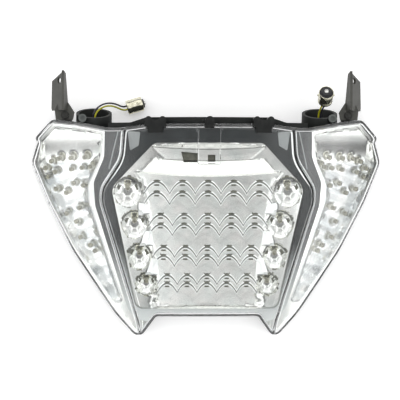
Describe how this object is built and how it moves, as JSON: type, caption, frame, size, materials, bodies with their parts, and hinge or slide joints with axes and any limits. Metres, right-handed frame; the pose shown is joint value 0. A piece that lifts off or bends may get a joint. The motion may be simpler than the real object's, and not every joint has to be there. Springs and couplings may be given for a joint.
{
  "type": "motorcycle tail light",
  "caption": "Wide V-shaped clear-lens LED tail light with a centre lamp, two signal wings, mounting ears and bulb-base leads.",
  "frame": {"origin": "middle of the lamp's box at the soles of its rear feet, measured without the leads", "axes": "+Z out of the lens, +Y to the edge with the ears and lead ports, +X across, to the right as seen from the lens side"},
  "size_m": [0.3534, 0.2664, 0.0989],
  "materials": {
    "housing_black": "moulded ABS, fine grain",
    "clip_black": "moulded ABS, satin",
    "foot_rubber": "matte",
    "seal_rubber": "foam rubber",
    "grommet_rubber": "matte",
    "lens_clear": "clear polished polycarbonate",
    "bezel_grey": "dark grey, semi-gloss",
    "reflector_metal": "vacuum-metallised plastic, mirror bright",
    "board_green": "solder mask",
    "led_clear": "clear epoxy",
    "resistor_body": "lacquer",
    "screw_zinc": "zinc plated",
    "boss_grey": "moulded, grey",
    "bracket_coat": "dark grey electrocoat, satin",
    "wire_black": "PVC",
    "wire_yellow": "PVC",
    "plug_nickel": "nickel plated brass, satin",
    "plug_insulator": "moulded phenolic",
    "contact_tin": "tinned solder contact"
  },
  "bodies": {
    "root": {"rear_housing": "housing_black", "left_port": "housing_black", "right_port": "housing_black", "rear_feet": "foot_rubber", "lens_seal": "seal_rubber", "lens": "lens_clear", "bezel": "bezel_grey", "centre_reflector": "reflector_metal", "left_reflector": "reflector_metal", "right_reflector": "reflector_metal", "centre_board": "board_green", "left_board": "board_green", "right_board": "board_green", "centre_leds": "led_clear", "left_leds": "led_clear", "right_leds": "led_clear", "resistors": "resistor_body", "board_screws": "screw_zinc", "left_clip": "clip_black", "right_clip": "clip_black", "locating_hook": "clip_black", "vent_bosses": "boss_grey", "left_bracket": "bracket_coat", "right_bracket": "bracket_coat", "bracket_screws": "screw_zinc", "bracket_washers": "screw_zinc", "left_grommet": "grommet_rubber", "right_grommet": "grommet_rubber", "left_black_wire": "wire_black", "left_yellow_wire": "wire_yellow", "right_black_wire": "wire_black", "right_yellow_wire": "wire_yellow", "left_plug_shell": "plug_nickel", "left_plug_insulator": "plug_insulator", "left_plug_contact": "contact_tin", "right_plug_shell": "plug_nickel", "right_plug_insulator": "plug_insulator", "right_plug_contact": "contact_tin"}
  },
  "joints": []
}
